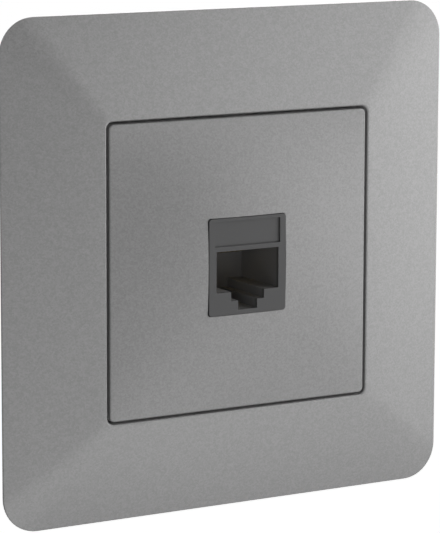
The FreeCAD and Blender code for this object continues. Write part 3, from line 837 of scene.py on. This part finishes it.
# %% Centre plate section
PLATE_HALF, PLATE_ROUND, PLATE_DOME, PLATE_EDGE = 24.2, 0.9, 2.65, 0.3
SKIRT_INNER, SKIRT_ROUND, SKIRT_EDGE = 22.4, 0.5, 0.15
EAVES_Y, EAVES_EDGE = LIP_Y + 1.8, 0.3
CEILING_HALF, CEILING_Y, CEILING_EDGE = 12.0, LIP_Y + 0.3, 0.5
WINDOW_X, WINDOW_Z, WINDOW_ROUND, WINDOW_EDGE, WINDOW_LAND = 7.31, 8.06, 0.5, 0.05, 0.6
TOP_SHARES = (
    0.012, 0.03, 0.08, 0.16, 0.24, 0.32, 0.4, 0.48, 0.56, 0.64, 0.72, 0.8, 0.88, 0.94, 0.98, 0.995)
EDGE_STEPS = 7


def plate_top(share):
    """A point of the pillow, from the window at 0 to the rounded edge at 1."""
    end = PLATE_HALF - PLATE_EDGE
    x = WINDOW_X + (end - WINDOW_X) * share
    z = WINDOW_Z + (end - WINDOW_Z) * share
    rounding = WINDOW_ROUND + (PLATE_ROUND - PLATE_EDGE - WINDOW_ROUND) * share
    return ((x, LIP_Y, z, rounding, 1.0), 0.0)


def plate_edge(step):
    """A point of the rounded front edge, which rises with the pillow."""
    angle = math.pi / 2 * step / EDGE_STEPS
    half = PLATE_HALF - PLATE_EDGE + PLATE_EDGE * math.sin(angle)
    drop = PLATE_EDGE * (1 - math.cos(angle))
    return ((half, LIP_Y + drop, half, PLATE_ROUND - PLATE_HALF + half, 1.0), 0.0)


plate_corners = [((WINDOW_X, LIP_Y, WINDOW_Z, WINDOW_ROUND, 1.0), WINDOW_EDGE)]
plate_corners += [plate_top(share) for share in TOP_SHARES]
plate_corners += [plate_edge(step) for step in range(EDGE_STEPS + 1)]
plate_corners += [
    square_corner(PLATE_HALF, LEDGE_Y, PLATE_ROUND, SKIRT_EDGE),
    square_corner(SKIRT_INNER, LEDGE_Y, SKIRT_ROUND, SKIRT_EDGE),
    square_corner(SKIRT_INNER, EAVES_Y, SKIRT_ROUND, EAVES_EDGE),
    square_corner(CEILING_HALF, CEILING_Y, SKIRT_ROUND, CEILING_EDGE),
    ((WINDOW_X, CEILING_Y, WINDOW_Z, WINDOW_ROUND, 0.0), 0.0),
    ((WINDOW_X, LIP_Y + WINDOW_LAND, WINDOW_Z, WINDOW_ROUND, 1.0), 0.0),
]
centre_plate = section_piece("centre_plate_painted", plate_corners)
print("plate section points", len(centre_plate.data.vertices))

# %% [markdown]
# ### Snap legs
# Four legs with hooks hold the plate behind the mounting plate. Each is a flat outline with some
# thickness, so it is pushed along Z, its edges are rounded, and a union makes it one with the plate.

# %% Centre plate carried round, with its legs
LEG_X, LEG_Z, LEG_WIDTH, LEG_THICK, LEG_ROOT = 13.0, 13.5, 4.0, 1.4, 0.2
LEG_EDGE, LEG_EDGE_STEPS = 0.12, 2
HOOK_Y, HOOK_REACH, HOOK_LAND, HOOK_LENGTH = -0.95, 1.2, 0.5, 2.4
PLATE_CORNER_STEPS = 8


def pushed_outline(name, points, z0, z1):
    """A closed outline of (x, y) millimetres pushed along Z, with its edges rounded."""
    bm = bmesh.new()
    low, high = ([bm.verts.new((x * MM, y * MM, z * MM)) for x, y in points] for z in (z0, z1))
    bm.faces.new(low)
    bm.faces.new(high)
    for i in range(len(points)):
        bm.faces.new((low[i - 1], low[i], high[i], high[i - 1]))
    bmesh.ops.recalc_face_normals(bm, faces=bm.faces)
    bmesh.ops.bevel(
        bm, geom=bm.edges, offset=LEG_EDGE * MM, segments=LEG_EDGE_STEPS, profile=0.5, affect="EDGES")
    return meshed(name, bm)


def snap_leg(side, z):
    """One leg behind the plate, with the hook that snaps behind the mounting plate."""
    root, tip, inner = LIP_Y - LEG_ROOT, HOOK_Y + HOOK_LENGTH, LEG_X - LEG_THICK
    outline = [
        (inner, root), (inner, tip), (LEG_X, tip), (LEG_X + HOOK_REACH, HOOK_Y + HOOK_LAND),
        (LEG_X + HOOK_REACH, HOOK_Y), (LEG_X, HOOK_Y), (LEG_X, root)]
    points = [(side * x, y) for x, y in outline]
    return pushed_outline("snap_leg", points, z - LEG_WIDTH / 2, z + LEG_WIDTH / 2)


run_tree(
    centre_plate, carried_section, corner_steps=PLATE_CORNER_STEPS, run_steps=RUN_STEPS,
    pillow_rise=PLATE_DOME * MM, pillow_half=PLATE_HALF * MM, finish=plate_paint)
closed_outwards(centre_plate)
combined(centre_plate, head_room("plate_notches"), "DIFFERENCE")
for side in (-1, 1):
    for z in (-LEG_Z, LEG_Z):
        combined(centre_plate, snap_leg(side, z), "UNION")
settle(centre_plate, "socket", plate_paint, ["centre_plate"])

# %% [markdown]
# ## Softened mouldings and stampings
# A solid from the workshop has knife edges, a real moulding or stamping has none. Each piece could be
# modelled again, but its solid already has the right shape. So such a piece is a merged copy of its
# solid, with flat regions joined again and a small bevel on every edge.

# %% Softened pieces
SOLID_MERGE = 1e-6
FLAT_ANGLE, BEVEL_ANGLE, BEVEL_STEPS = math.radians(1.0), math.radians(30.0), 3
CLAW_EDGE = 0.12
# Piece, solid, width of the rounded edges in millimetres, finish slot, finish.
SOFT_PIECES = (
    ("jack_moulding", "jack_housing", 0.12, "jack_plastic", jack_plastic),
    ("contact_comb_moulding", "contact_comb", 0.05, "comb_plastic", comb_plastic),
    ("circuit_board_cut", "circuit_board", 0.06, "board_green", board_green),
    ("terminal_block_moulding", "idc_block", 0.1, "block_plastic", block_plastic),
    ("carrier_moulding", "jack_carrier", 0.2, "carrier_plastic", carrier_plastic),
    ("mounting_plate_stamping", "mounting_plate", 0.15, "zinc_steel", zinc_steel),
)


def softened(name, node, width_mm):
    """A copy of a solid with its edges rounded."""
    piece = link_new(name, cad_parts[node].data.copy())
    bm = bmesh.new()
    bm.from_mesh(piece.data)
    bmesh.ops.remove_doubles(bm, verts=bm.verts, dist=SOLID_MERGE)
    bmesh.ops.dissolve_limit(bm, angle_limit=FLAT_ANGLE, verts=bm.verts, edges=bm.edges)
    bm.to_mesh(piece.data)
    bm.free()
    bevel = piece.modifiers.new("soft_edges", "BEVEL")
    bevel.width = width_mm * MM
    bevel.segments = BEVEL_STEPS
    bevel.limit_method = "ANGLE"
    bevel.angle_limit = BEVEL_ANGLE
    bevel.use_clamp_overlap = True
    return made_plain(piece)


for name, node, width, slot, material in SOFT_PIECES:
    settle(softened(name, node, width), "socket", material, [node], SOFT_SHARP)
for side in ("left", "right"):
    stamped = softened(f"claw_{side}_stamping", f"claw_{side}", CLAW_EDGE)
    settle(stamped, f"{side}_claw", claw_steel, [f"claw_{side}"], SOFT_SHARP)

# %% [markdown]
# ## Turned screws and pins
# Screws and pins come from a lathe: one outline carried round an axis. A thread could be cut by a
# swept helix, but such cuts tear easily. So the tree lets the radius fall and rise with a phase that
# runs along the axis and once round it, wherever the outline says that there is thread. Both screws
# have the same hand.

# %% Rule of turned pieces
THREAD_PITCH, THREAD_DEPTH = 0.5, 0.27


def turned_tree():
    tree, ink, given = new_tree(
        "turned", outline="Geometry", steps="Int", pitch="Float", depth="Float", turn="Vector",
        place="Vector", finish="Material")
    spot = ink.node("GeometryNodeInputPosition")
    rail = ink.node("GeometryNodeCurvePrimitiveCircle", {"Resolution": given.steps, "Radius": RAIL_UNIT})
    rail = stored(ink, rail, "rail", "FLOAT_VECTOR", spot)
    outline = ink.node("GeometryNodeMeshToCurve", {"Mesh": given.outline})
    outline = stored(ink, outline, "outline", "FLOAT_VECTOR", spot)
    swept = ink.node("GeometryNodeCurveToMesh", {"Curve": rail, "Profile Curve": outline})

    along = parted(ink, named(ink, "rail", "FLOAT_VECTOR"))
    across = parted(ink, named(ink, "outline", "FLOAT_VECTOR"))
    angle = ink.math("ARCTAN2", along.out("Y"), along.out("X"))
    phase = ink.math("FRACT", across.out("Y") / given.pitch + angle / math.tau)
    valley = ink.math("ABSOLUTE", 2 * phase - 1)
    radius = across.out("X") - named(ink, "thread") * given.depth * valley
    shape = placed(ink, swept, along.out("X") * radius, across.out("Y"), along.out("Y") * radius)
    shape = ink.node(
        "GeometryNodeTransform", {"Geometry": shape, "Translation": given.place, "Rotation": given.turn})
    finished(ink, shape, given.finish)
    return tree


def turned_piece(name, points, steps, turn, place, finish):
    """Turns (radius, level, thread) points in millimetres round Y, then turns and places the piece."""
    piece = line_piece(name, points, False, {"thread": [p[2] for p in points]})
    return run_tree(
        piece, turned, steps=steps, pitch=THREAD_PITCH * MM, depth=THREAD_DEPTH * MM, turn=turn,
        place=Vector(place) * MM, finish=finish)


turned = turned_tree()
print("tree", turned.name, "nodes", len(turned.nodes))

# %% [markdown]
# ### Claw screws
# Each screw has a pan head, a plain neck, a thread that fades in and out, and a chamfered tip. All of
# that is in its outline. The screwdriver's cross isn't round, so two tapered bars cut it out.

# %% Claw screws
HEAD_Y, COLLAR_Y, SCREW_END = -2.8, -1.0, 16.0
HEAD_RADIUS, HEAD_SLANT, SHANK_RADIUS, TIP_RADIUS = 2.5, 0.7, 1.5, 1.1
HEAD_EDGE, COLLAR_EDGE = 0.4, 0.15
THREAD_START, THREAD_END, STEPS_PER_TURN, SCREW_SIDES = 0.4, 15.4, 12, 56
CROSS_LENGTH, CROSS_WIDTH, CROSS_DEPTH, CROSS_TAPER, CROSS_RISE = 2.9, 0.62, 1.05, 0.72, 1.0


def screw_outline():
    """Radius, level and share of thread from the head's middle to the tip's."""
    points = section_line([
        ((0.0, HEAD_Y, 0.0), 0.0),
        ((HEAD_RADIUS - HEAD_SLANT, HEAD_Y, 0.0), HEAD_EDGE),
        ((HEAD_RADIUS, HEAD_Y + HEAD_SLANT, 0.0), HEAD_EDGE),
        ((HEAD_RADIUS, COLLAR_Y, 0.0), COLLAR_EDGE),
        ((SHANK_RADIUS, COLLAR_Y, 0.0), COLLAR_EDGE),
        ((SHANK_RADIUS, THREAD_START, 0.0), 0.0),
    ])
    count = round((THREAD_END - THREAD_START) / THREAD_PITCH * STEPS_PER_TURN)
    for step in range(1, count):
        turns = step / STEPS_PER_TURN
        fade = min(1.0, turns, (count - step) / STEPS_PER_TURN)
        points.append((SHANK_RADIUS, THREAD_START + turns * THREAD_PITCH, fade))
    tip = [
        (SHANK_RADIUS, THREAD_END), (SHANK_RADIUS, SCREW_END - SHANK_RADIUS + TIP_RADIUS),
        (TIP_RADIUS, SCREW_END), (0.0, SCREW_END)]
    return points + [(r, y, 0.0) for r, y in tip]


def cross_bar(x, long_x, long_z):
    """A tapered bar that cuts one half of the screwdriver's cross."""
    bm = bmesh.new()
    bmesh.ops.create_cube(bm, size=1.0)
    for v in bm.verts:
        deep = v.co.y > 0
        narrow = CROSS_TAPER if deep else 1.0
        level = HEAD_Y + CROSS_DEPTH if deep else HEAD_Y - CROSS_RISE
        v.co = Vector((x + v.co.x * long_x * narrow, level, v.co.z * long_z * narrow)) * MM
    return meshed("cross", bm)


for side, x in (("left", -SCREW_X), ("right", SCREW_X)):
    screw = turned_piece(
        f"claw_screw_{side}_turned", screw_outline(), SCREW_SIDES, (0, 0, 0), (x, 0, 0), screw_steel)
    closed_outwards(screw)
    combined(screw, cross_bar(x, CROSS_LENGTH, CROSS_WIDTH), "DIFFERENCE")
    combined(screw, cross_bar(x, CROSS_WIDTH, CROSS_LENGTH), "DIFFERENCE")
    settle(screw, f"{side}_screw", screw_steel, [f"claw_screw_{side}"], THREAD_SHARP)

# %% [markdown]
# ### Claw pins
# Each claw swings on a plain pin with chamfered ends. The same tree turns it, with no thread on its
# outline, and lays it along the axis of the claw.

# %% Claw pins
PIN_X, PIN_Y, PIN_HALF, PIN_RADIUS, PIN_SLANT, PIN_EDGE, PIN_SIDES = 19.5, 5.2, 6.3, 1.0, 0.2, 0.08, 28
QUARTER_TURN = (math.pi / 2, 0, 0)
pin_outline = section_line([
    ((0.0, -PIN_HALF, 0.0), 0.0),
    ((PIN_RADIUS - PIN_SLANT, -PIN_HALF, 0.0), PIN_EDGE),
    ((PIN_RADIUS, -PIN_HALF + PIN_SLANT, 0.0), PIN_EDGE),
    ((PIN_RADIUS, PIN_HALF - PIN_SLANT, 0.0), PIN_EDGE),
    ((PIN_RADIUS - PIN_SLANT, PIN_HALF, 0.0), PIN_EDGE),
    ((0.0, PIN_HALF, 0.0), 0.0),
])
for side, x in (("left", -PIN_X), ("right", PIN_X)):
    pin = turned_piece(
        f"claw_pin_{side}_turned", pin_outline, PIN_SIDES, QUARTER_TURN, (x, PIN_Y, 0), zinc_steel)
    settle(pin, "socket", zinc_steel, [f"claw_pin_{side}"])

# %% [markdown]
# ## Spring contacts
# Each contact is a strip of gold plated wire: straight in the comb, bent back at the front, and then
# sloping down into the plug cavity. Its solid could be softened, but a rule gives a rounder bend. So
# the tree places a few points of one line by that rule, gives it the wire's section and sets eight of
# them side by side.

# %% Rule of the spring contacts
STRIP_EDGE_STEPS = 2


def bent_line(ink, given):
    """A line of a tail's end, the points of the bend, and the free end."""
    index = ink.node("GeometryNodeInputIndex")
    steps, bend, slope = given.bend_steps, given.bend, given.slope
    count = ink.node("FunctionNodeFloatToInt", {0: steps + 3.0})
    line = ink.node("GeometryNodeMeshLine", {"Count": count})
    line = ink.node("GeometryNodeMeshToCurve", {"Mesh": line})
    share = ink.node("ShaderNodeClamp", {"Value": (index - 1.0) / steps, "Min": 0.0, "Max": 1.0})
    angle = share * (math.pi - slope)
    back = ink.math("LESS_THAN", index, 0.5) * given.tail
    ahead = ink.math("GREATER_THAN", index, steps + 1.5) * given.free
    y = back - bend * ink.math("SINE", angle) + ahead * ink.math("COSINE", slope)
    z = bend * (ink.math("COSINE", angle) - 1) - ahead * ink.math("SINE", slope)
    line = placed(ink, line, 0.0, y, z)
    return ink.node("GeometryNodeSetCurveNormal", {"Curve": line, "Normal": (1, 0, 0)}, mode="FREE")


def spring_tree():
    tree, ink, given = new_tree(
        "spring_contacts", start="Geometry", ways="Int", pitch="Float", tail="Float", bend="Float",
        slope="Float", free="Float", bend_steps="Int", width="Float", thick="Float", edge="Float",
        place="Vector", finish="Material")
    wire = rectangle(ink, given.width, given.thick, STRIP_EDGE_STEPS, given.edge)
    strip = ink.node(
        "GeometryNodeCurveToMesh",
        {"Curve": bent_line(ink, given), "Profile Curve": wire, "Fill Caps": True})
    first = ink.node("ShaderNodeCombineXYZ", {"X": (1.0 - given.ways) * given.pitch / 2})
    offset = ink.node("ShaderNodeCombineXYZ", {"X": given.pitch})
    points = ink.node(
        "GeometryNodeMeshLine", {"Count": given.ways, "Start Location": first, "Offset": offset})
    row = ink.node("GeometryNodeInstanceOnPoints", {"Points": points, "Instance": strip})
    row = ink.node("GeometryNodeTransform", {"Geometry": row, "Translation": given.place})
    finished(ink, row, given.finish)
    return tree


springs = spring_tree()
print("tree", springs.name, "nodes", len(springs.nodes))

# %% Spring contacts
WAYS, CONTACT_PITCH = 8, 1.016
CONTACT_WIDTH, CONTACT_THICK, CONTACT_EDGE = 0.45, 0.3, 0.07
CONTACT_TAIL_Y, CONTACT_FRONT_Y, CONTACT_Z = 6.4, -5.9, 3.9
CONTACT_BEND, CONTACT_SLOPE, CONTACT_FREE, BEND_STEPS = 0.7, math.radians(14.0), 7.8, 14

contacts = run_tree(
    link_new("spring_contacts", bpy.data.meshes.new("spring_contacts")), springs, ways=WAYS,
    pitch=CONTACT_PITCH * MM, tail=(CONTACT_TAIL_Y - CONTACT_FRONT_Y) * MM, bend=CONTACT_BEND * MM,
    slope=CONTACT_SLOPE, free=CONTACT_FREE * MM, bend_steps=BEND_STEPS, width=CONTACT_WIDTH * MM,
    thick=CONTACT_THICK * MM, edge=CONTACT_EDGE * MM,
    place=Vector((0, CONTACT_FRONT_Y, CONTACT_Z)) * MM, finish=contact_gold)
contact_nodes = [f"contact_{n + 1}" for n in range(WAYS)]
settle(contacts, "socket", contact_gold, contact_nodes, STRIP_SHARP)

# %% [markdown]
# ## Terminal blades
# The wires are pressed into forked blades that stand in two rows of four. All eight solids could be
# softened, but they are alike. So one blade is softened and moved to the middle, and the tree sets it
# on the points of a grid.

# %% Terminal blades
BLADE_X, BLADE_PITCH, BLADES_PER_ROW, BLADE_EDGE = 4.35, 3.7, 4, 0.04
ROWS = 2


def rows_tree():
    tree, ink, given = new_tree(
        "rows", shape="Geometry", span="Float", length="Float", count="Int", finish="Material")
    grid = ink.node("GeometryNodeMeshGrid", {
        "Size X": given.span, "Size Y": given.length, "Vertices X": ROWS, "Vertices Y": given.count})
    grid = ink.node("GeometryNodeTransform", {"Geometry": grid, "Rotation": QUARTER_TURN})
    copies = ink.node("GeometryNodeInstanceOnPoints", {"Points": grid, "Instance": given.shape})
    finished(ink, copies, given.finish)
    return tree


rows = rows_tree()
row_length = BLADE_PITCH * (BLADES_PER_ROW - 1)
blades = softened("terminal_blades", "idc_contact_1", BLADE_EDGE)
blades.data.transform(Matrix.Translation(Vector((-BLADE_X, 0, -row_length / 2)) * MM))
run_tree(
    blades, rows, span=2 * BLADE_X * MM, length=row_length * MM, count=BLADES_PER_ROW,
    finish=tinned_bronze)
blade_nodes = [f"idc_contact_{n + 1}" for n in range(ROWS * BLADES_PER_ROW)]
settle(blades, "socket", tinned_bronze, blade_nodes, SOFT_SHARP)

# %% [markdown]
# ## Dust caps
# A cap is pushed on over each row of terminals to hold the wires, and its roof has grooves for the
# thumb. A bump in the finish could fake them, but their rims would stay straight. So the same tree
# sets a small block on its grid for each groove, and the blocks are cut out of the softened caps.

# %% Dust caps
CAP_ROOF_Y, CAP_EDGE = 18.25, 0.15
THUMB_DEPTH, THUMB_RISE, THUMB_WIDTH, THUMB_LENGTH = 0.28, 0.4, 0.5, 4.4
THUMB_PITCH, THUMB_COUNT = 1.4, 7


def thumb_grooves():
    """Blocks that cut the grooves of both caps."""
    half, low = THUMB_LENGTH / 2, THUMB_WIDTH / 2
    block = (-half, half, CAP_ROOF_Y - THUMB_DEPTH, CAP_ROOF_Y + THUMB_RISE, -low, low)
    return run_tree(
        block_piece("thumb_grooves", [block]), rows, span=2 * BLADE_X * MM,
        length=THUMB_PITCH * (THUMB_COUNT - 1) * MM, count=THUMB_COUNT, finish=cap_plastic)


for side in ("left", "right"):
    cap = softened(f"dust_cap_{side}_moulding", f"dust_cap_{side}", CAP_EDGE)
    closed_outwards(cap)
    combined(cap, thumb_grooves(), "DIFFERENCE")
    settle(cap, "socket", cap_plastic, [f"dust_cap_{side}"], SOFT_SHARP)
